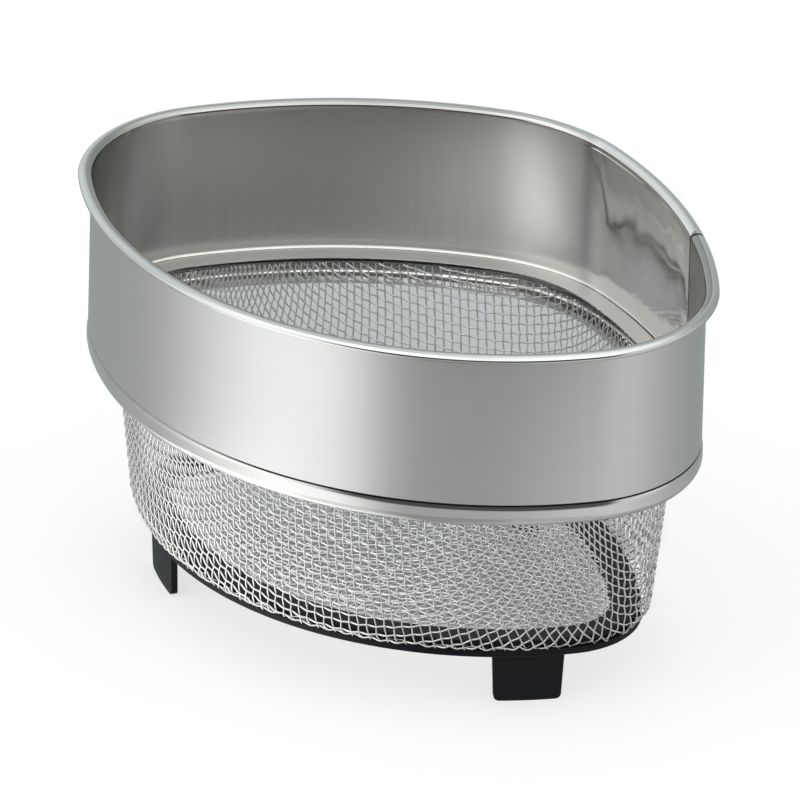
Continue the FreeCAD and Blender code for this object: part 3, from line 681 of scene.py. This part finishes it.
bpy.ops.mesh.primitive_plane_add(size=card_size, location=(0.0, 0.0, card_height))
card = bpy.context.view_layer.objects.active
card.name = "table_card"
card.visible_camera = False
card.visible_diffuse = False
card.visible_shadow = False
card.visible_transmission = False
mat, shader, start, place = new_material("table_glow")
x, y = place[:2]
turn = compass(x - card_middle[0], y - card_middle[1])
far = distance(x, y, card_middle)
front_left = turn.step(*front_left_from) * (1.0 - turn.step(*front_left_to)) * front_left_level
close_left = lobe(turn, *close_lobe) * (1.0 - far.step(*close_to)) * close_level
level = card_level + front_left + lobe(turn, *right_lobe) * right_level + close_left
beyond = far.step(*beyond_from) * lobe(turn, *beyond_lobe).step(*beyond_edges)
near = near_level + far.step(*near_to) * (1.0 - near_level)
level = level * (1.0 - beyond * beyond_dim) * near
level = start.node("ShaderNodeCombineXYZ", (), {0: level, 1: level, 2: level})
cool = (lobe(turn, *card_cool_left) + lobe(turn, *cool_back)).step(0.0, 1.0)
glow = start.node("ShaderNodeMix", {"data_type": "RGBA", "blend_type": "MULTIPLY"},
                  {0: 1.0, 6: cool.blend(warm_white, cool_card), 7: level}, 2)
start.feed(shader.inputs["Emission Color"], glow)
shader.inputs["Emission Strength"].default_value = 1.0
shader.inputs["Base Color"].default_value = (0.0, 0.0, 0.0, 1.0)
shader.inputs["Specular IOR Level"].default_value = 0.0
dress(card, mat)


# Studio light
# A tent of soft light all round, brighter overhead and to the front left. Low down in front it is
# dim, with a broad soft box above. A lobe is its direction, its width and what it adds.

cool_sky, sky_cool_left = (0.92, 0.99, 1.0, 1.0), (-120.0, 60.0)
low_level, high_level, high_from = 0.75, 1.4, (34.0, 62.0)
low_lobes = ((-36.0, 48.0, 0.8), (112.0, 50.0, 0.2), (-110.0, 45.0, 0.2), (180.0, 60.0, -0.25))
high_lobes = ((-45.0, 85.0, 0.5), (90.0, 60.0, 0.5), (-115.0, 55.0, -0.55))
front_lobe, front_edges = (36.0, 66.0), (0.12, 0.4)
box_from, box_to, box_level = (24.0, 33.0), (44.0, 58.0), 0.95
dim_to, dim_share = (21.0, 31.0), 0.88


def light_round(turn, level, lobes):
    """A level of light all round, with the lobes added to it."""
    for middle, width, more in lobes:
        level = level + lobe(turn, middle, width) * more
    return level


world = bpy.data.worlds.new("tent")
scene.world = world
world.use_nodes = True
sky = world.node_tree.nodes["Background"]
start = Tone(world.node_tree, None)
x, y, z = parts_of(start.node("ShaderNodeTexCoord", out=0))
turn = compass(x, y)
rise = start.maths("ARCSINE", z) * (180.0 / math.pi)
low_light = light_round(turn, low_level, low_lobes)
high_light = light_round(turn, high_level, high_lobes)
level = low_light + (high_light - low_light) * rise.step(*high_from)
ahead = lobe(turn, *front_lobe).step(*front_edges)
soft_box = ahead * rise.step(*box_from) * (1.0 - rise.step(*box_to)) * box_level
dim = ahead * (1.0 - rise.step(*dim_to)) * dim_share
start.feed(sky.inputs["Strength"], (level + soft_box) * (1.0 - dim))
cool = (lobe(turn, *sky_cool_left) + lobe(turn, *cool_back)).step(0.0, 1.0)
start.feed(sky.inputs["Color"], cool.blend(warm_white, cool_sky))


# Camera
# A long lens from the front right and above, turned a little about its own line of sight.

view_turn, view_lift, view_roll = (math.radians(angle) for angle in (34.730, 27.223, 1.494))
view_far, view_lens, sensor_width = 8.0, 1065.2, 36.0
view_middle, view_right, view_up = Vector((0.0136, -0.0249, 0.08875)), 0.000782, 0.000395

to_camera = Vector((math.sin(view_turn) * math.cos(view_lift),
                    -math.cos(view_turn) * math.cos(view_lift), math.sin(view_lift)))
level_right = Vector((math.cos(view_turn), math.sin(view_turn), 0.0))
level_up = to_camera.cross(level_right)
right = level_right * math.cos(view_roll) + level_up * math.sin(view_roll)
up = level_up * math.cos(view_roll) - level_right * math.sin(view_roll)
place = view_middle + right * view_right + up * view_up + to_camera * view_far
camera_data = bpy.data.cameras.new("camera")
camera_data.sensor_width = sensor_width
camera_data.lens = view_lens
camera = bpy.data.objects.new("camera", camera_data)
scene.collection.objects.link(camera)
camera.matrix_world = Matrix.Translation(place) @ Matrix((right, up, to_camera)).transposed().to_4x4()
scene.camera = camera
